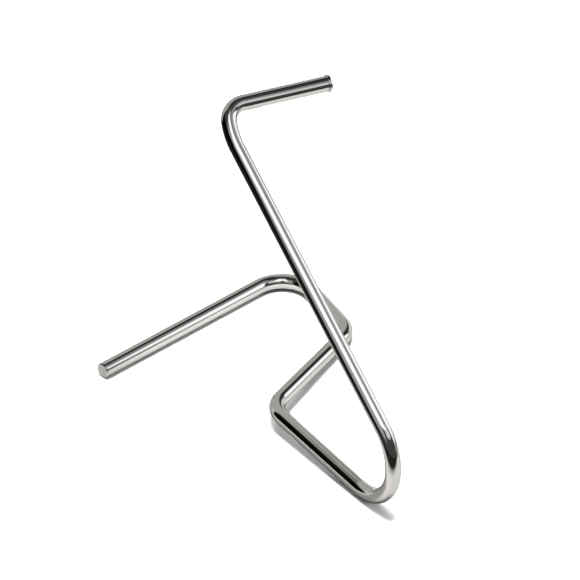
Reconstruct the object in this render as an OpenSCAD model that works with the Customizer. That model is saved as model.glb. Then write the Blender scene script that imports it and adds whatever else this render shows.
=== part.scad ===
// Valet stand bent from one length of round tube.
// Seen from above, headings are measured anticlockwise from +X.
// Lengths of runs are measured between the corners where the straight axes would meet.

/* [Tube] */
// Outside diameter of the tube
tube_d = 42.4; // [40:0.1:44]
// Wall thickness of the tube
tube_wall = 2; // [1.5:0.1:3]

/* [Base] */
// Length of the foot run, from the plugged end to the first corner
foot_length = 697; // [600:1:800]
// Heading of the foot run
foot_heading = 44; // [40:0.1:48]
// Length of the back run, from the first corner to the second
back_length = 338; // [310:1:380]
// Heading of the back run
back_heading = -63; // [-66:0.1:-60]
// Length in plan of the cross run, from the second corner to the knee
cross_length = 451; // [400:1:500]
// Heading of the cross run
cross_heading = -117.3; // [-122:0.1:-114]
// Height that the cross run gains on its way to the knee
knee_rise = 30; // [20:1:36]

/* [Hairpin] */
// Distance in plan from the knee to the centre of the hairpin bend
hairpin_reach = 402; // [380:1:450]
// Heading of the low run that leads from the knee into the hairpin
hairpin_heading = -54.4; // [-58:0.1:-51]

/* [Upright and arm] */
// Angle of the upright above the floor
upright_slope = 38.9; // [36:0.1:41]
// Height of the arm's axis above the floor
arm_height = 861; // [800:1:900]
// Length of the tube in the arm, from the head corner to its end
arm_length = 308; // [250:1:340]
// Heading of the arm
arm_heading = 23; // [16:0.1:30]

/* [Bends] */
// Axis radius of the bend between the foot run and the back run
foot_bend_r = 92; // [80:1:100]
// Axis radius of the bend between the back run and the cross run
back_bend_r = 87; // [75:1:100]
// Axis radius of the bend at the knee
knee_bend_r = 88; // [75:1:100]
// Axis radius of the hairpin bend
hairpin_r = 140; // [125:1:145]
// Axis radius of the slow first stretch of the head bend
head_sweep_r = 218; // [180:1:240]
// Angle turned in the slow first stretch of the head bend
head_sweep_angle = 19; // [12:0.1:22]
// Axis radius of the tight last stretch of the head bend
head_bend_r = 53; // [50:1:60]
// Radius that the tube loses where it is bent
bend_loss = 0.1; // [0.05:0.01:0.2]

/* [Foot plug] */
// Thickness of the plug's head
plug_head = 4; // [3:0.5:6]
// Chamfer around the plug's flat face
plug_chamfer = 2.4; // [1:0.1:2.6]
// Depth that the plug's cup reaches into the tube
plug_depth = 18; // [10:1:30]

/* [Arm cap] */
// Width of the groove between the tube and the lip
groove_width = 1.6; // [1:0.1:2.5]
// Depth of the groove below the tube's surface
groove_depth = 1; // [0.5:0.1:1.5]
// Height that the lip stands proud of the tube
lip_proud = 2.8; // [1.5:0.1:4]
// Length of the lip along the arm
lip_length = 11.2; // [8.2:0.1:14]
// Rounding of the lip's edge towards the tube
lip_inner_round = 2; // [1:0.1:2.5]
// Rounding of the lip's edge at the free end
lip_outer_round = 5.5; // [4:0.1:5.5]
// Depth that the cap's cup reaches into the tube
cap_depth = 24; // [15:1:40]

/* [Hidden] */
$fn = 96;

tube_r = tube_d / 2;
bore_r = tube_r - tube_wall;
// Outside radius of the tube where it is bent
bent_r = tube_r - bend_loss;
// Gap left around each cup in the bore
cup_clearance = 0.1;
cup_r = bore_r - cup_clearance;
cup_wall = 2.2;
// Length by which the bore is cut past the tube's two ends
cut_past = 5;

// Unit vector with a heading and a slope above the floor
function direction(heading, slope = 0) =
    [cos(slope) * cos(heading), cos(slope) * sin(heading), sin(slope)];
function unit(v) = v / norm(v);
function angle_between(a, b) = atan2(norm(cross(a, b)), a * b);

// Base corners, from the plugged end to the knee
foot_end = [0, 0, tube_r];
first_corner = foot_end + foot_length * direction(foot_heading);
second_corner = first_corner + back_length * direction(back_heading);
knee = second_corner + cross_length * direction(cross_heading) + [0, 0, knee_rise];

// The hairpin's lowest point rests on the floor, and the low run is tangent to the hairpin
hairpin_centre_z = bent_r + hairpin_r;
centre_rise = hairpin_centre_z - knee[2];
centre_distance = norm([hairpin_reach, centre_rise]);
low_slope = atan2(centre_rise, hairpin_reach) - asin(hairpin_r / centre_distance);
low_direction = direction(hairpin_heading, low_slope);
low_tangent = sqrt(pow(centre_distance, 2) - pow(hairpin_r, 2));
upright_direction = direction(hairpin_heading + 180, upright_slope);
hairpin_turn = angle_between(low_direction, upright_direction);
hairpin_corner = knee + (low_tangent + hairpin_r * tan(hairpin_turn / 2)) * low_direction;

// The upright ends at the head corner, where its axis meets the arm's
upright_length = (arm_height - hairpin_corner[2]) / sin(upright_slope);
head_corner = hairpin_corner + upright_length * upright_direction;
arm_direction = direction(arm_heading);
arm_end = head_corner + arm_length * arm_direction;

// The head bend has a slow stretch and a tight one, each with a corner of its own
head_turn = angle_between(upright_direction, arm_direction);
tight_turn = head_turn - head_sweep_angle;
corner_gap = head_sweep_r * tan(head_sweep_angle / 2) + head_bend_r * tan(tight_turn / 2);
sweep_corner = head_corner - corner_gap * sin(tight_turn) / sin(head_turn) * upright_direction;
tight_corner = head_corner + corner_gap * sin(head_sweep_angle) / sin(head_turn) * arm_direction;

// The whole axis: corners from end to end, the bend radius at each, and the runs' directions
corners = [foot_end, first_corner, second_corner, knee, hairpin_corner,
           sweep_corner, tight_corner, arm_end];
bend_radii = [0, foot_bend_r, back_bend_r, knee_bend_r, hairpin_r, head_sweep_r, head_bend_r, 0];
// The tight stretch of the head bend follows the slow one with no straight run, so it loses twice
losses = [0, 1, 1, 1, 1, 1, 2, 0] * bend_loss;
// Length by which each bend's narrower end is sunk into what it meets
bend_sink = 0.2;
last = len(corners) - 1;
run_dirs = [for (i = [0 : last - 1]) unit(corners[i + 1] - corners[i])];
turns = [for (i = [0 : last]) i == 0 || i == last ? 0 : angle_between(run_dirs[i - 1], run_dirs[i])];
trims = [for (i = [0 : last]) bend_radii[i] * tan(turns[i] / 2)];

// Centre of the box around the stand, which becomes the origin's place in plan
hairpin_axis = knee + hairpin_reach * direction(hairpin_heading);
x_low = foot_end[0] - plug_head * cos(foot_heading) - (tube_r - plug_chamfer) * sin(foot_heading);
x_high = hairpin_axis[0] + hairpin_r * cos(hairpin_heading) + bent_r;
first_bend_start = first_corner - trims[1] * run_dirs[0];
first_bend_centre = first_bend_start + foot_bend_r * direction(foot_heading - 90);
y_high = first_bend_centre[1] + foot_bend_r + bent_r;
y_low = hairpin_axis[1] + hairpin_r * sin(hairpin_heading) - bent_r;
plan_centre = [(x_low + x_high) / 2, (y_low + y_high) / 2, 0];

// Places children in a frame with the given origin and unit axes
module in_frame(origin, x, y, z)
    multmatrix([
        [x[0], y[0], z[0], origin[0]],
        [x[1], y[1], z[1], origin[1]],
        [x[2], y[2], z[2], origin[2]],
        [0, 0, 0, 1]
    ])
        children();

// Places children with +Z along a direction and +X level
module pointing(origin, z) {
    x = unit([-z[1], z[0], 0]);
    in_frame(origin, x, cross(z, x), z)
        children();
}

// Straight rod of radius r along run i, lengthened at the tube's two ends by past
module straight(i, r, past) {
    before = i == 0 ? past : 0;
    after = i == last - 1 ? past : 0;
    span = norm(corners[i + 1] - corners[i]) - trims[i] - trims[i + 1];
    if (span > 0.01)
        pointing(corners[i] + (trims[i] - before) * run_dirs[i], run_dirs[i])
            cylinder(h = span + before + after, r = r);
}

// Curved rod of radius r around the bend at corner i
module bend(i, r) {
    a = run_dirs[i - 1];
    inward = unit(run_dirs[i] - (run_dirs[i] * a) * a);
    centre = corners[i] - trims[i] * a + bend_radii[i] * inward;
    sink_angle = atan(bend_sink / bend_radii[i]);
    in_frame(centre, -inward, a, cross(-inward, a))
        rotate([0, 0, -sink_angle])
            rotate_extrude(angle = turns[i] + 2 * sink_angle)
                translate([bend_radii[i], 0])
                    circle(r = r - losses[i]);
}

// Rod of radius r along the whole axis
module rod(r, past = 0) {
    for (i = [0 : last - 1])
        straight(i, r, past);
    for (i = [1 : last - 1])
        bend(i, r);
}

module bent_tube()
    color("silver")
        translate(-plan_centre)
            difference() {
                rod(tube_r);
                rod(bore_r, cut_past);
            }

// Cup that reaches depth into the tube, open towards -Z, with its rim at z = -depth
module cup(depth)
    translate([0, 0, -depth])
        difference() {
            cylinder(h = depth, r = cup_r);
            translate([0, 0, -1])
                cylinder(h = depth + 1, r = cup_r - cup_wall);
        }

// Flat plug: +Z points out of the tube and z = 0 is the tube's end
module plug_shape() {
    cup(plug_depth);
    cylinder(h = plug_head - plug_chamfer, r = tube_r);
    translate([0, 0, plug_head - plug_chamfer])
        cylinder(h = plug_chamfer, r1 = tube_r, r2 = tube_r - plug_chamfer);
}

module foot_plug()
    color("gray")
        translate(-plan_centre)
            pointing(foot_end, -run_dirs[0])
                plug_shape();

// Half outline of the lip: a strip with a small round at its start and a large one at its end
module lip_outline() {
    r = tube_r + lip_proud;
    square([r - lip_outer_round, lip_length]);
    translate([0, lip_inner_round])
        square([r, lip_length - lip_inner_round - lip_outer_round]);
    square([r - lip_inner_round, lip_length - lip_outer_round]);
    translate([r - lip_inner_round, lip_inner_round])
        circle(r = lip_inner_round);
    translate([r - lip_outer_round, lip_length - lip_outer_round])
        circle(r = lip_outer_round);
}

// Lipped cap: +Z points out of the tube and z = 0 is the tube's end
module cap_shape() {
    cup(cap_depth);
    cylinder(h = groove_width, r = tube_r - groove_depth);
    translate([0, 0, groove_width])
        rotate_extrude()
            lip_outline();
}

module arm_cap()
    color("lightgray")
        translate(-plan_centre)
            pointing(arm_end, run_dirs[last - 1])
                cap_shape();

bent_tube();
foot_plug();
arm_cap();
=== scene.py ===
"""Valet stand bent from one length of polished stainless tube, on a pale studio floor.

The tube, the foot plug and the arm cap are swept and turned here at a finer resolution than
their CAD solids, in the same place. The CAD takes 0.1 mm off the tube's radius in its bends and
this model doesn't, so the two boxes differ by up to 0.2 mm. Lengths are metres, angles degrees.
"""
from math import asin, atan2, ceil, cos, degrees, hypot, pi, radians, sin, sqrt, tan

import bmesh
import bpy
from mathutils import Matrix, Vector


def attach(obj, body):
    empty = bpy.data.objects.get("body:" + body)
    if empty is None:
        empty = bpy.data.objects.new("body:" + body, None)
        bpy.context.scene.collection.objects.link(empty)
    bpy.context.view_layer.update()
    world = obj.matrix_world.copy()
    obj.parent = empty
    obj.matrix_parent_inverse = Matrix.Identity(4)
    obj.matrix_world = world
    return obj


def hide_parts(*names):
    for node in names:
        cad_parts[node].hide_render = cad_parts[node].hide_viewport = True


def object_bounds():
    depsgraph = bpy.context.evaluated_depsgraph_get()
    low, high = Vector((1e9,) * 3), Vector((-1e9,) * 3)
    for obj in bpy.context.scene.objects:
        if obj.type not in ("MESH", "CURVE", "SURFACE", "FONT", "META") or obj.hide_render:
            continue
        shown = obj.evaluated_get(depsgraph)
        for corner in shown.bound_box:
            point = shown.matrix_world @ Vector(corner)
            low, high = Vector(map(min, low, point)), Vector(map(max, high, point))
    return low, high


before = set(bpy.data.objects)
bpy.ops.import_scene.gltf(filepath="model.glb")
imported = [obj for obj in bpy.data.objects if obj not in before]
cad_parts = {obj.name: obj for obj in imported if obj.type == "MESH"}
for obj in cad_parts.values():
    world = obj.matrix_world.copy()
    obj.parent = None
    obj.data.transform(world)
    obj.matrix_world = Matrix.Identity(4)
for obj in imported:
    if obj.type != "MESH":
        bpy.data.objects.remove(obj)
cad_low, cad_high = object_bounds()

# ---------------------------------------------------------------- driving dimensions

TUBE_R = 0.0212
WALL = 0.002

FOOT_LENGTH, FOOT_HEADING = 0.697, 44.0
BACK_LENGTH, BACK_HEADING = 0.338, -63.0
CROSS_LENGTH, CROSS_HEADING = 0.451, -117.3
KNEE_RISE = 0.030
HAIRPIN_REACH, HAIRPIN_HEADING = 0.402, -54.4
UPRIGHT_SLOPE = 38.9
ARM_HEIGHT, ARM_LENGTH, ARM_HEADING = 0.861, 0.308, 23.0
FOOT_BEND_R, BACK_BEND_R, KNEE_BEND_R, HAIRPIN_R = 0.092, 0.087, 0.088, 0.140
HEAD_SWEEP_R, HEAD_SWEEP_ANGLE, HEAD_BEND_R = 0.218, 19.0, 0.053

PLUG_HEAD, PLUG_CHAMFER, PLUG_DEPTH = 0.004, 0.0024, 0.018
GROOVE_WIDTH, GROOVE_DEPTH = 0.0016, 0.001
LIP_PROUD, LIP_LENGTH = 0.0028, 0.0112
LIP_INNER_ROUND, LIP_OUTER_ROUND = 0.002, 0.0055
CAP_DEPTH = 0.024
CUP_GAP, CUP_WALL = 0.0001, 0.0022

# Mesh resolution: sides round a section, and degrees of bend and length of run between rings
SIDES = 112
BEND_STEP, RUN_STEP = 1.5, 0.05
# The bore is closed at both ends, so its rings stand further apart
BORE_BEND_STEP, BORE_RUN_STEP = 3 * BEND_STEP, 2 * RUN_STEP
MIN_STEPS = 2
# A straight run shorter than this is left out
NO_RUN = 1e-5
# Rings from rim to middle of a closing piece's face, and steps of the lip's two rounds
FACE_RINGS = 12
INNER_ROUND_STEPS, OUTER_ROUND_STEPS = 10, 20

# Small bevels: on each sharp edge of metal, and on the corners of the plug's chamfer
EDGE_BREAK = 0.0003
CHAMFER_SOFTENING = 0.0004
# Height that the cap's end is domed by
CAP_DOME = 0.0003
# Edges that turn by more than this are shaded sharp
SHARP_ANGLE = 30.0


# ---------------------------------------------------------------- the tube's axis


def direction(heading, slope=0.0):
    """Unit vector with a heading, anticlockwise from +X seen from above, and a slope upwards."""
    h, s = radians(heading), radians(slope)
    return Vector((cos(s) * cos(h), cos(s) * sin(h), sin(s)))


def axis_corners():
    """Corners of the tube's axis, from the foot end to the arm's end, and the radius at each."""
    foot_end = Vector((0.0, 0.0, TUBE_R))
    first = foot_end + FOOT_LENGTH * direction(FOOT_HEADING)
    second = first + BACK_LENGTH * direction(BACK_HEADING)
    knee = second + CROSS_LENGTH * direction(CROSS_HEADING) + Vector((0.0, 0.0, KNEE_RISE))

    # The low run is tangent to the hairpin, whose lowest point is on the floor
    rise = TUBE_R + HAIRPIN_R - knee.z
    distance = hypot(HAIRPIN_REACH, rise)
    low_slope = degrees(atan2(rise, HAIRPIN_REACH) - asin(HAIRPIN_R / distance))
    low = direction(HAIRPIN_HEADING, low_slope)
    upright = direction(HAIRPIN_HEADING + 180.0, UPRIGHT_SLOPE)
    tangent = sqrt(distance**2 - HAIRPIN_R**2)
    hairpin = knee + (tangent + HAIRPIN_R * tan(low.angle(upright) / 2)) * low

    # The head bend has a slow stretch and a tight one
    head = hairpin + (ARM_HEIGHT - hairpin.z) / sin(radians(UPRIGHT_SLOPE)) * upright
    arm = direction(ARM_HEADING)
    turn = upright.angle(arm)
    sweep = radians(HEAD_SWEEP_ANGLE)
    gap = HEAD_SWEEP_R * tan(sweep / 2) + HEAD_BEND_R * tan((turn - sweep) / 2)
    sweep_corner = head - gap * sin(turn - sweep) / sin(turn) * upright
    tight_corner = head + gap * sin(sweep) / sin(turn) * arm

    arm_end = head + ARM_LENGTH * arm

    corners = [foot_end, first, second, knee, hairpin, sweep_corner, tight_corner, arm_end]
    bend_radii = [FOOT_BEND_R, BACK_BEND_R, KNEE_BEND_R, HAIRPIN_R, HEAD_SWEEP_R, HEAD_BEND_R]
    return corners, [0.0, *bend_radii, 0.0]


def plan_centre():
    """The middle of the stand's box in plan, counted from the foot end: the part's origin."""
    heading = radians(FOOT_HEADING)
    _, first, _, knee, *_ = axis_corners()[0]
    hairpin = knee + HAIRPIN_REACH * direction(HAIRPIN_HEADING)
    turning = radians(HAIRPIN_HEADING)
    x_low = -PLUG_HEAD * cos(heading) - (TUBE_R - PLUG_CHAMFER) * sin(heading)
    x_high = hairpin.x + HAIRPIN_R * cos(turning) + TUBE_R
    turn = direction(FOOT_HEADING).angle(direction(BACK_HEADING))
    start = first - FOOT_BEND_R * tan(turn / 2) * direction(FOOT_HEADING)
    y_high = (start + FOOT_BEND_R * direction(FOOT_HEADING - 90.0)).y + FOOT_BEND_R + TUBE_R
    y_low = hairpin.y + HAIRPIN_R * sin(turning) - TUBE_R
    return Vector(((x_low + x_high) / 2, (y_low + y_high) / 2, 0.0))


def axis_stations(bend_step, run_step):
    """Stations on the axis as (point, x, y, tangent, distance); x and y are carried untwisted."""
    corners, radii = axis_corners()
    last = len(corners) - 1
    runs = [(corners[i + 1] - corners[i]).normalized() for i in range(last)]
    trims = [0.0] * (last + 1)
    for i in range(1, last):
        trims[i] = radii[i] * tan(runs[i - 1].angle(runs[i]) / 2)

    x = runs[0].cross(Vector((0.0, 0.0, 1.0))).normalized()
    travelled = 0.0
    stations = []
    for i in range(last):
        tangent = runs[i]
        start = corners[i] + trims[i] * tangent
        span = (corners[i + 1] - corners[i]).length - trims[i] - trims[i + 1]
        if span > NO_RUN:
            steps = max(MIN_STEPS, ceil(span / run_step))
            for k in range(0 if i == 0 else 1, steps + 1):
                point = start + span * k / steps * tangent
                stations.append((point, x, tangent.cross(x), tangent, travelled + span * k / steps))
            travelled += span
        if i + 1 == last:
            break
        # Turn about the bend's centre, carrying x with the tangent
        turn = tangent.angle(runs[i + 1])
        spin_axis = tangent.cross(runs[i + 1]).normalized()
        inward = spin_axis.cross(tangent)
        centre = start + max(span, 0.0) * tangent + radii[i + 1] * inward
        steps = max(MIN_STEPS, ceil(degrees(turn) / bend_step))
        for k in range(1, steps + 1):
            spin = Matrix.Rotation(turn * k / steps, 3, spin_axis)
            arc = radii[i + 1] * turn * k / steps
            point = centre - spin @ (radii[i + 1] * inward)
            x_here, t_here = spin @ x, spin @ tangent
            stations.append((point, x_here, t_here.cross(x_here), t_here, travelled + arc))
        x = Matrix.Rotation(turn, 3, spin_axis) @ x
        travelled += radii[i + 1] * turn
    return stations


# ---------------------------------------------------------------- mesh building


def ring(bm, layer, point, x, y, radius, along):
    """One ring of vertices; layer keeps each vertex's place in the straightened tube."""
    verts = []
    for k in range(SIDES):
        angle = 2 * pi * k / SIDES
        c, s = cos(angle), sin(angle)
        vert = bm.verts.new(point + radius * (c * x + s * y))
        vert[layer] = Vector((radius * c, radius * s, along))
        verts.append(vert)
    return verts


def bridge(bm, a, b, material=0):
    """Quads between two rings, facing outwards when b is further along than a."""
    for k in range(SIDES):
        n = (k + 1) % SIDES
        face = bm.faces.new((a[k], a[n], b[n], b[k]))
        face.smooth = True
        face.material_index = material


def new_mesh(name, build, materials):
    """An object whose mesh build(bm, layer) fills in."""
    bm = bmesh.new()
    layer = bm.verts.layers.float_vector.new("metal_space")
    build(bm, layer)
    bmesh.ops.recalc_face_normals(bm, faces=bm.faces)
    mesh = bpy.data.meshes.new(name)
    bm.to_mesh(mesh)
    bm.free()
    piece = bpy.data.objects.new(name, mesh)
    bpy.context.scene.collection.objects.link(piece)
    for material in materials:
        mesh.materials.append(material)
    mesh.set_sharp_from_angle(angle=radians(SHARP_ANGLE))
    return piece


def build_tube(bm, layer):
    """The tube's outside, its bore and the rims that join them."""
    stations = axis_stations(BEND_STEP, RUN_STEP)
    bore = axis_stations(BORE_BEND_STEP, BORE_RUN_STEP)
    outer = [(point, x, y, TUBE_R, along) for point, x, y, _, along in stations]
    inner = [(point, x, y, TUBE_R - WALL, along) for point, x, y, _, along in bore]

    # The edge at each end is broken: the end's ring shrinks, and a full ring stands just inside it
    def broken(station, inwards):
        point, x, y, tangent, along = station
        rim = (point, x, y, TUBE_R - EDGE_BREAK, along)
        step = inwards * EDGE_BREAK
        return rim, (point + step * tangent, x, y, TUBE_R, along + step)

    rim_start, full_start = broken(stations[0], 1.0)
    rim_end, full_end = broken(stations[-1], -1.0)
    loop = [rim_start, full_start] + outer[1:-1] + [full_end, rim_end] + inner[::-1]
    rings = [ring(bm, layer, *place) for place in loop]
    for a, b in zip(rings, rings[1:] + rings[:1]):
        bridge(bm, a, b)


def arc_points(cr, cz, radius, start, end, steps):
    """Points (r, z) on an arc of a turned outline, from angle start to angle end."""
    points = []
    for k in range(steps + 1):
        angle = radians(start + (end - start) * k / steps)
        points.append((cr + radius * cos(angle), cz + radius * sin(angle)))
    return points


def turned(outline, point, x, y, axis, face_from=None):
    """A build function for a solid of revolution. The outline is (r, z), from axis to axis.

    Bands from face_from on have the second material.
    """

    def build(bm, layer):
        rings = []
        for r, z in outline:
            if r > 0.0:
                rings.append(ring(bm, layer, point + z * axis, x, y, r, z))
            else:
                vert = bm.verts.new(point + z * axis)
                vert[layer] = Vector((0.0, 0.0, z))
                rings.append([vert])
        for i, (a, b) in enumerate(zip(rings, rings[1:])):
            material = 1 if face_from is not None and i >= face_from else 0
            if len(a) == 1 or len(b) == 1:
                hub, rim = (a[0], b) if len(a) == 1 else (b[0], a)
                for k in range(SIDES):
                    face = bm.faces.new((hub, rim[k], rim[(k + 1) % SIDES]))
                    face.smooth = True
                    face.material_index = material
            else:
                bridge(bm, a, b, material)

    return build


def cup_outline(depth):
    """The cup of a closing piece, which sits in the bore: its inside first, then its outside."""
    cup_r = TUBE_R - WALL - CUP_GAP
    return [
        (0.0, 0.0),
        (cup_r - CUP_WALL, 0.0),
        (cup_r - CUP_WALL, -depth),
        (cup_r, -depth),
        (cup_r, 0.0),
    ]


def plug_outline():
    """The flat chamfered head that closes the foot end, with its cup, and where its face starts."""
    shoulder = PLUG_HEAD - PLUG_CHAMFER
    face_r = TUBE_R - PLUG_CHAMFER
    soft = CHAMFER_SOFTENING / 2
    outline = cup_outline(PLUG_DEPTH)
    outline += [(TUBE_R - EDGE_BREAK, 0.0), (TUBE_R, EDGE_BREAK)]
    outline += [(TUBE_R, shoulder - soft), (TUBE_R - soft, shoulder + soft)]
    outline += [(face_r + soft, PLUG_HEAD - soft), (face_r - soft, PLUG_HEAD)]
    face_from = len(outline) - 1
    outline += [(face_r * (1 - k / FACE_RINGS), PLUG_HEAD) for k in range(1, FACE_RINGS + 1)]
    return outline, face_from


def cap_outline():
    """The lipped cap that closes the arm: groove, rounded lip, slightly domed end, and cup."""
    groove_r = TUBE_R - GROOVE_DEPTH
    lip_r = TUBE_R + LIP_PROUD
    lip_start = GROOVE_WIDTH
    lip_end = GROOVE_WIDTH + LIP_LENGTH
    outline = cup_outline(CAP_DEPTH)
    outline += [(groove_r, 0.0), (groove_r, lip_start - EDGE_BREAK)]
    outline += [(groove_r + EDGE_BREAK, lip_start)]
    inner = (lip_r - LIP_INNER_ROUND, lip_start + LIP_INNER_ROUND)
    outline += arc_points(*inner, LIP_INNER_ROUND, -90.0, 0.0, INNER_ROUND_STEPS)
    outer = (lip_r - LIP_OUTER_ROUND, lip_end - CAP_DOME - LIP_OUTER_ROUND)
    outline += arc_points(*outer, LIP_OUTER_ROUND, 0.0, 90.0, OUTER_ROUND_STEPS)
    flat_r = lip_r - LIP_OUTER_ROUND
    for k in range(1, FACE_RINGS + 1):
        r = flat_r * (1 - k / FACE_RINGS)
        outline.append((r, lip_end - CAP_DOME * (r / flat_r) ** 2))
    return outline


# ---------------------------------------------------------------- materials

# Noise cells for each metre: across the tube, across the tube, along it
DRAWN_LINES = (900.0, 900.0, 6.0)
FINE_SCRATCHES = (60.0, 60.0, 2600.0)
WIPED_PATCHES = (22.0, 22.0, 9.0)
BLASTED_GRAIN = (1600.0, 1600.0, 1600.0)
BLASTED_BLOTCHES = (150.0, 150.0, 150.0)

POLISHED_TONES = (0.80, 0.80, 0.79), (0.72, 0.715, 0.70)
POLISHED_EDGE_TINT = (0.7, 0.7, 0.7, 1.0)
# Roughness as (where its noise starts, where it ends, lowest, highest)
PATCH_ROUGHNESS = (0.35, 0.75, 0.02, 0.05)
LINE_ROUGHNESS = (0.3, 0.8, 0.0, 0.015)
SCRATCH_RELIEF = 0.5
POLISHED_BUMP = {"Strength": 0.06, "Distance": 0.00002}

BLASTED_TONES = (0.66, 0.66, 0.64), (0.54, 0.54, 0.52)
BLASTED_METALLIC = 0.78
GRAIN_ROUGHNESS = (0.3, 0.7, 0.38, 0.52)
TURNING_MARKS = {"Scale": 260.0, "Distortion": 0.6, "Detail": 2.0}
TURNING_RELIEF = 0.3
BLASTED_BUMP = {"Strength": 0.35, "Distance": 0.00006}


def graph(material):
    """Node helpers for a material: add(type, {input: value}, setting=value) and link(a, b)."""
    material.use_nodes = True
    tree = material.node_tree
    tree.nodes.clear()

    def add(kind, values=None, **settings):
        node = tree.nodes.new(kind)
        for key, value in settings.items():
            setattr(node, key, value)
        for key, value in (values or {}).items():
            node.inputs[key].default_value = value
        return node

    return add, tree.links.new


def stretched_noise(add, link, space, stretch, detail, roughness=0.5):
    """Noise on the metal's own coordinates, stretched by a factor for each axis."""
    scale = add("ShaderNodeVectorMath", {1: stretch}, operation="MULTIPLY")
    link(space.outputs["Vector"], scale.inputs[0])
    noise = add("ShaderNodeTexNoise", {"Scale": 1.0, "Detail": detail, "Roughness": roughness})
    link(scale.outputs["Vector"], noise.inputs["Vector"])
    return noise.outputs["Fac"]


def remap(add, link, source, low, high, to_low, to_high):
    """A value moved from one range to another."""
    node = add(
        "ShaderNodeMapRange",
        {"From Min": low, "From Max": high, "To Min": to_low, "To Max": to_high},
    )
    link(source, node.inputs["Value"])
    return node.outputs["Result"]


def socket(sockets, name):
    """The enabled socket with a name, since a Mix node has a set of sockets for each data type."""
    return next(s for s in sockets if s.name == name and s.enabled)


def mixer(add, a, b):
    """A colour Mix node between two plain colours."""
    node = add("ShaderNodeMix", data_type="RGBA")
    socket(node.inputs, "A").default_value = (*a, 1.0)
    socket(node.inputs, "B").default_value = (*b, 1.0)
    return node


def mix_colour(add, link, factor, a, b):
    """A colour between a and b by a value socket."""
    node = mixer(add, a, b)
    link(factor, socket(node.inputs, "Factor"))
    return socket(node.outputs, "Result")


def total(add, link, a, b):
    """The sum of two value sockets."""
    node = add("ShaderNodeMath", operation="ADD")
    link(a, node.inputs[0])
    link(b, node.inputs[1])
    return node.outputs["Value"]


def emboss(add, link, height, settings, shader):
    """Relief on a shader's normal."""
    bump = add("ShaderNodeBump", settings)
    link(height, bump.inputs["Height"])
    link(bump.outputs["Normal"], shader.inputs["Normal"])


def show(add, link, result):
    """The material's surface."""
    out = add("ShaderNodeOutputMaterial")
    link(result, out.inputs["Surface"])


def polished_steel(name):
    """Mirror-polished stainless: faint drawn lines, fine cross scratches, dull wiped patches."""
    material = bpy.data.materials.new(name)
    add, link = graph(material)
    space = add("ShaderNodeAttribute", attribute_name="metal_space")
    settings = {"Metallic": 1.0, "Specular Tint": POLISHED_EDGE_TINT}
    shader = add("ShaderNodeBsdfPrincipled", settings)
    show(add, link, shader.outputs["BSDF"])

    drawn = stretched_noise(add, link, space, DRAWN_LINES, 3.0)
    cross = stretched_noise(add, link, space, FINE_SCRATCHES, 2.0)
    patches = stretched_noise(add, link, space, WIPED_PATCHES, 4.0, 0.6)

    colour = mix_colour(add, link, patches, *POLISHED_TONES)
    link(colour, shader.inputs["Base Color"])

    polish = remap(add, link, patches, *PATCH_ROUGHNESS)
    lines = remap(add, link, drawn, *LINE_ROUGHNESS)
    link(total(add, link, polish, lines), shader.inputs["Roughness"])

    scratches = remap(add, link, cross, 0.0, 1.0, 0.0, SCRATCH_RELIEF)
    emboss(add, link, total(add, link, drawn, scratches), POLISHED_BUMP, shader)
    return material


def blasted_steel(name):
    """Matte face of the foot plug: fine blasted grain over faint rings left by turning."""
    material = bpy.data.materials.new(name)
    add, link = graph(material)
    space = add("ShaderNodeAttribute", attribute_name="metal_space")
    shader = add("ShaderNodeBsdfPrincipled", {"Metallic": BLASTED_METALLIC})
    show(add, link, shader.outputs["BSDF"])

    grain = stretched_noise(add, link, space, BLASTED_GRAIN, 4.0, 0.65)
    blotch = stretched_noise(add, link, space, BLASTED_BLOTCHES, 3.0)
    rings = add("ShaderNodeTexWave", TURNING_MARKS, wave_type="RINGS", rings_direction="Z")
    link(space.outputs["Vector"], rings.inputs["Vector"])

    colour = mix_colour(add, link, blotch, *BLASTED_TONES)
    link(colour, shader.inputs["Base Color"])
    link(remap(add, link, grain, *GRAIN_ROUGHNESS), shader.inputs["Roughness"])

    marks = remap(add, link, rings.outputs["Fac"], 0.0, 1.0, 0.0, TURNING_RELIEF)
    emboss(add, link, total(add, link, grain, marks), BLASTED_BUMP, shader)
    return material


# ---------------------------------------------------------------- studio

# Size of the floor, of the dome that only the metal mirrors, and of the sheet that it mirrors as
# the floor, which lies just above the real one
FLOOR_HALF = 60.0
DOME_RADIUS = 5.0
DOME_SEGMENTS, DOME_RINGS = 96, 48
SHEET_HALF = 1.2 * DOME_RADIUS
SHEET_HEIGHT = 0.0001

FLOOR_LOOK = {"Base Color": (0.86, 0.86, 0.86, 1.0), "Roughness": 0.5, "Specular IOR Level": 0.3}

# Colours of the mirrored sheet, and how much the painted shade of the stand takes from the bright
# one
DARK_SHEET = (0.008, 0.008, 0.007)
BRIGHT_SHEET = (0.46, 0.45, 0.43)
PAINTED_SHADE_DEPTH = 0.62
# The sheet's soft edges as (direction across the edge, distance where it starts, where it ends),
# counted from the middle of the stand: in front of it and to its left
SHEET_FRONT = ((0.24, 0.97, 0.0), -0.90, -0.60)
SHEET_LEFT = ((0.87, 0.50, 0.0), -0.70, 0.0)
# Painted dimming to the right, and far away: where it starts, where it ends, and the brightness at
# each
SHEET_RIGHT = ((1.0, 0.0, 0.0), 0.15, 0.40, 1.0, 0.74)
SHEET_FAR = (1.5, 2.4, 1.0, 0.15)
# Edges of the painted shade: across the low run, counted from the knee, and along it from the
# middle
PAINTED_SHADE_ACROSS = (-0.19, -0.11), (0.09, 0.03)
PAINTED_SHADE_ALONG = (-0.15, -0.05), (0.64, 0.54)


def floor_material():
    """Plain pale floor."""
    material = bpy.data.materials.new("pale_floor")
    add, link = graph(material)
    shader = add("ShaderNodeBsdfPrincipled", FLOOR_LOOK)
    show(add, link, shader.outputs["BSDF"])
    return material


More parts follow.
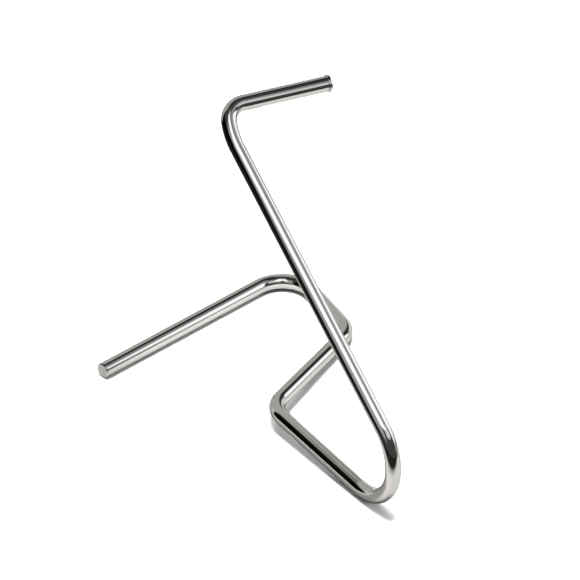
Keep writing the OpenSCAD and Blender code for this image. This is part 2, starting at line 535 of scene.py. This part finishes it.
def seen_directly(add, link):
    """1 for rays that have met only polished metal, 0 once the pale floor has scattered them."""
    path = add("ShaderNodeLightPath")
    node = add("ShaderNodeMath", {1: 0.5}, operation="LESS_THAN")
    link(path.outputs["Diffuse Depth"], node.inputs[0])
    return node.outputs["Value"]


def product(add, link, factors):
    """The product of several value sockets."""
    result = factors[0]
    for factor in factors[1:]:
        node = add("ShaderNodeMath", operation="MULTIPLY")
        link(result, node.inputs[0])
        link(factor, node.inputs[1])
        result = node.outputs["Value"]
    return result


def smooth_edge(add, link, value, start, end, first=0.0, last=1.0):
    """A smooth change from first, at start, to last, at end."""
    node = add(
        "ShaderNodeMapRange",
        {"From Min": start, "From Max": end, "To Min": first, "To Max": last},
        interpolation_type="SMOOTHSTEP",
    )
    link(value, node.inputs["Value"])
    return node.outputs["Result"]


def mirrored_floor_material():
    """Painted reflection of the floor as the metal mirrors it: a bright sheet that fades out in
    front and on the left.
    """
    material = bpy.data.materials.new("mirrored_floor")
    add, link = graph(material)
    place = add("ShaderNodeNewGeometry").outputs["Position"]

    def edge(across, start, end, first=0.0, last=1.0):
        slant = add("ShaderNodeVectorMath", {1: across}, operation="DOT_PRODUCT")
        link(place, slant.inputs[0])
        return smooth_edge(add, link, slant.outputs["Value"], start, end, first, last)

    distance = add("ShaderNodeVectorMath", operation="LENGTH")
    link(place, distance.inputs[0])

    # Painted shade: a wide soft dark strip painted on the sheet along the stand's low run, where
    # the stand shades the floor
    along = direction(HAIRPIN_HEADING)
    aside = direction(HAIRPIN_HEADING + 90.0)
    _, _, _, knee, *_ = axis_corners()[0]
    knee_side = (knee - plan_centre()).dot(aside)
    shade = [edge(aside, knee_side + start, knee_side + end) for start, end in PAINTED_SHADE_ACROSS]
    shade += [edge(along, start, end) for start, end in PAINTED_SHADE_ALONG]
    unshaded = add("ShaderNodeMath", {1: -PAINTED_SHADE_DEPTH, 2: 1.0}, operation="MULTIPLY_ADD")
    link(product(add, link, shade), unshaded.inputs[0])

    # Painted reflection of the lit floor: the sheet's brightness, from its faded edges, its dimming
    # and the painted shade
    lit = [
        edge(*SHEET_FRONT),
        edge(*SHEET_LEFT),
        edge(*SHEET_RIGHT),
        smooth_edge(add, link, distance.outputs["Value"], *SHEET_FAR),
        unshaded.outputs["Value"],
        seen_directly(add, link),
    ]
    shader = add("ShaderNodeBsdfDiffuse")
    tone = mix_colour(add, link, product(add, link, lit), DARK_SHEET, BRIGHT_SHEET)
    link(tone, shader.inputs["Color"])
    show(add, link, shader.outputs["BSDF"])
    return material


# Painted reflections: walls, soft boxes and flags of the mirrored studio, painted as glowing fields
# on a dome round the stand, as (name, centre azimuth, half width, lowest elevation, highest
# elevation, softness of the edges, brightness).
# Azimuth 0 is +Y and 90 is +X. A field covers those before it, and the base shows between them.
DOME_FIELDS = [
    ("back_wall", -24.0, 42.0, -10.0, 60.0, 8.0, (0.46, 0.46, 0.43)),
    ("skirting_left", -61.0, 6.0, -10.0, 12.0, 5.0, (0.80, 0.80, 0.78)),
    ("skirting_right", 32.0, 20.0, -10.0, 13.0, 12.0, (0.95, 0.95, 0.93)),
    ("wall_corner", 60.0, 16.0, 40.0, 60.0, 9.0, (0.22, 0.22, 0.22)),
    ("side_wall_top", 106.0, 38.0, 42.0, 66.0, 10.0, (0.34, 0.35, 0.35)),
    ("side_wall", 130.0, 12.0, 30.0, 50.0, 8.0, (0.76, 0.76, 0.75)),
    ("front_wall", -148.0, 24.0, 17.0, 60.0, 8.0, (0.37, 0.385, 0.385)),
    ("front_window", 140.0, 26.0, 31.0, 43.0, 7.0, (0.78, 0.79, 0.78)),
    ("ceiling", 15.0, 85.0, 61.0, 100.0, 9.0, (0.045, 0.045, 0.045)),
    ("gap_in_wall", 34.0, 11.0, 26.0, 47.0, 8.0, (0.03, 0.03, 0.03)),
    ("gap_top", 24.0, 16.0, 42.0, 66.0, 8.0, (0.015, 0.015, 0.015)),
    ("key_light", 75.0, 23.0, 5.0, 43.0, 7.0, (1.26, 1.25, 1.28)),
    ("key_foot", 97.0, 12.0, -10.0, 9.0, 8.0, (0.35, 0.35, 0.34)),
    ("overhead_light", 172.0, 35.0, 44.0, 80.0, 8.0, (1.28, 1.32, 1.31)),
    ("black_flag", -98.0, 30.0, -30.0, 30.0, 5.0, (0.003, 0.003, 0.002)),
    ("black_flag_top", -105.0, 30.0, 26.0, 45.0, 6.0, (0.003, 0.003, 0.002)),
]
DOME_BASE = (0.06, 0.06, 0.06)


def dome_material():
    """Painted reflections: the studio as the metal mirrors it, painted by direction from the middle
    of the floor on a glowing dome.
    """
    material = bpy.data.materials.new("mirrored_studio")
    add, link = graph(material)
    place = add("ShaderNodeNewGeometry")
    unit = add("ShaderNodeVectorMath", operation="NORMALIZE")
    link(place.outputs["Position"], unit.inputs[0])
    split = add("ShaderNodeSeparateXYZ")
    link(unit.outputs["Vector"], split.inputs["Vector"])
    rise = add("ShaderNodeMath", operation="ARCSINE")
    link(split.outputs["Z"], rise.inputs[0])
    elevation = remap(add, link, rise.outputs["Value"], -pi / 2, pi / 2, -90.0, 90.0)

    def edge(value, middle, softness):
        return smooth_edge(add, link, value, middle - softness / 2, middle + softness / 2)

    level = None
    for name, centre, half, low, high, soft, brightness in DOME_FIELDS:
        c = radians(centre)
        ahead = add("ShaderNodeVectorMath", {1: (sin(c), cos(c), 0.0)}, operation="DOT_PRODUCT")
        aside = add("ShaderNodeVectorMath", {1: (cos(c), -sin(c), 0.0)}, operation="DOT_PRODUCT")
        turn = add("ShaderNodeMath", operation="ARCTAN2")
        link(unit.outputs["Vector"], ahead.inputs[0])
        link(unit.outputs["Vector"], aside.inputs[0])
        link(aside.outputs["Value"], turn.inputs[0])
        link(ahead.outputs["Value"], turn.inputs[1])
        off = add("ShaderNodeMath", operation="ABSOLUTE")
        link(turn.outputs["Value"], off.inputs[0])
        wide = edge(off.outputs["Value"], radians(half), -radians(soft))
        mask = [edge(elevation, low, soft), edge(elevation, high, -soft), wide]
        mix = mixer(add, DOME_BASE, brightness)
        mix.label = name
        link(product(add, link, mask), socket(mix.inputs, "Factor"))
        if level is not None:
            link(level, socket(mix.inputs, "A"))
        level = socket(mix.outputs, "Result")

    glow = add("ShaderNodeEmission")
    link(level, glow.inputs["Color"])
    link(seen_directly(add, link), glow.inputs["Strength"])
    show(add, link, glow.outputs["Emission"])
    return material


def only_mirrored(piece):
    """Leaves a stage object visible only in reflections, and so that it lights nothing else."""
    piece.visible_camera = False
    piece.visible_diffuse = False
    piece.visible_shadow = False
    piece.visible_transmission = False
    piece.visible_volume_scatter = False


def stage_plane(name, half, height, material):
    """A level square of the stage, with its middle above the origin."""
    mesh = bpy.data.meshes.new(name)
    corners = [(-half, -half), (half, -half), (half, half), (-half, half)]
    mesh.from_pydata([(*corner, height) for corner in corners], [], [(0, 1, 2, 3)])
    mesh.materials.append(material)
    plane = bpy.data.objects.new(name, mesh)
    bpy.context.scene.collection.objects.link(plane)
    return plane


def build_stage():
    """Pale floor for the camera, and the painted reflections of floor and studio that only the
    polished metal mirrors.
    """
    floor = stage_plane("floor", FLOOR_HALF, 0.0, floor_material())
    floor.visible_glossy = False
    sheet = stage_plane("mirrored_floor", SHEET_HALF, SHEET_HEIGHT, mirrored_floor_material())
    only_mirrored(sheet)

    bm = bmesh.new()
    bmesh.ops.create_uvsphere(
        bm, u_segments=DOME_SEGMENTS, v_segments=DOME_RINGS, radius=DOME_RADIUS
    )
    mesh = bpy.data.meshes.new("mirrored_studio")
    bm.to_mesh(mesh)
    bm.free()
    mesh.materials.append(dome_material())
    dome = bpy.data.objects.new("mirrored_studio", mesh)
    bpy.context.scene.collection.objects.link(dome)
    only_mirrored(dome)


# Soft lights as (name, azimuth, elevation, spread, irradiance in W/m2); azimuth 0 is +Y, 90 is +X
LIGHTS = [
    ("overhead", 180.0, 86.0, 17.0, 4.9),
    ("back", -14.0, 44.0, 13.0, 1.0),
    ("key", 77.0, 24.0, 13.0, 1.0),
]
# Brightness of the white world: as the shadows see it, and as the camera sees it
FILL_STRENGTH, BACKDROP_STRENGTH = 0.55, 1.0


def soft_light(name, azimuth, elevation, spread, irradiance):
    """Distant soft light that reaches the whole floor alike and shows in no reflection."""
    light = bpy.data.lights.new(name, "SUN")
    light.energy = irradiance
    light.angle = radians(spread)
    lamp = bpy.data.objects.new(name, light)
    a, e = radians(azimuth), radians(elevation)
    away = Vector((cos(e) * sin(a), cos(e) * cos(a), sin(e)))
    lamp.rotation_euler = away.to_track_quat("Z", "Y").to_euler()
    lamp.visible_glossy = False
    bpy.context.scene.collection.objects.link(lamp)


def build_lights():
    """Soft lights, and a white world that fills the shadows and stands behind the floor's edge."""
    for settings in LIGHTS:
        soft_light(*settings)
    world = bpy.data.worlds.new("soft_white")
    world.use_nodes = True
    tree = world.node_tree
    background = tree.nodes["Background"]
    background.inputs["Color"].default_value = (1.0, 1.0, 1.0, 1.0)
    path = tree.nodes.new("ShaderNodeLightPath")
    strength = tree.nodes.new("ShaderNodeMapRange")
    strength.inputs["To Min"].default_value = FILL_STRENGTH
    strength.inputs["To Max"].default_value = BACKDROP_STRENGTH
    tree.links.new(path.outputs["Is Camera Ray"], strength.inputs["Value"])
    tree.links.new(strength.outputs["Result"], background.inputs["Strength"])
    bpy.context.scene.world = world


# ---------------------------------------------------------------- camera

# Long lens, in millimetres, from far away, since the photograph shows almost no perspective
CAMERA_ELEVATION = 33.95
CAMERA_DISTANCE = 20.75
CAMERA_LENS, CAMERA_SENSOR = 494.0, 36.0
CAMERA_REACH = 100.0
# Where the camera looks, counted from the middle of the CAD box
CAMERA_AIM = Vector((0.1124, -0.1256, 0.0))


def build_camera(middle):
    """Camera at the photograph's viewing angle, in front of the stand and above it."""
    camera = bpy.data.cameras.new("camera")
    camera.lens = CAMERA_LENS
    camera.sensor_width = CAMERA_SENSOR
    camera.clip_end = CAMERA_REACH
    rig = bpy.data.objects.new("camera", camera)
    e = radians(CAMERA_ELEVATION)
    away = Vector((0.0, -cos(e), sin(e)))
    rig.location = middle + CAMERA_AIM + CAMERA_DISTANCE * away
    rig.rotation_euler = away.to_track_quat("Z", "Y").to_euler()
    bpy.context.scene.collection.objects.link(rig)
    bpy.context.scene.camera = rig


# ---------------------------------------------------------------- assembly

middle = (Vector(cad_low) + Vector(cad_high)) / 2
build_camera(middle)
bpy.context.scene.view_settings.view_transform = "Standard"

steel = polished_steel("polished_steel")
matte = blasted_steel("blasted_steel")

# The axis starts at the foot end, and the shift takes it to the part's origin
shift = -plan_centre()
tube = new_mesh("valet_tube", build_tube, [steel])
tube.data.transform(Matrix.Translation(shift))
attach(tube, "root")
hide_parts("bent_tube")

stations = axis_stations(BEND_STEP, RUN_STEP)
point, x, y, tangent, _ = stations[0]
outline, face_from = plug_outline()
plug_shape = turned(outline, point + shift, x, -y, -tangent, face_from)
plug = new_mesh("foot_end_plug", plug_shape, [steel, matte])
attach(plug, "root")
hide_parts("foot_plug")

point, x, y, tangent, _ = stations[-1]
cap_shape = turned(cap_outline(), point + shift, x, y, tangent)
cap = new_mesh("arm_end_cap", cap_shape, [steel])
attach(cap, "root")
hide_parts("arm_cap")

build_stage()
build_lights()

bpy.context.view_layer.update()
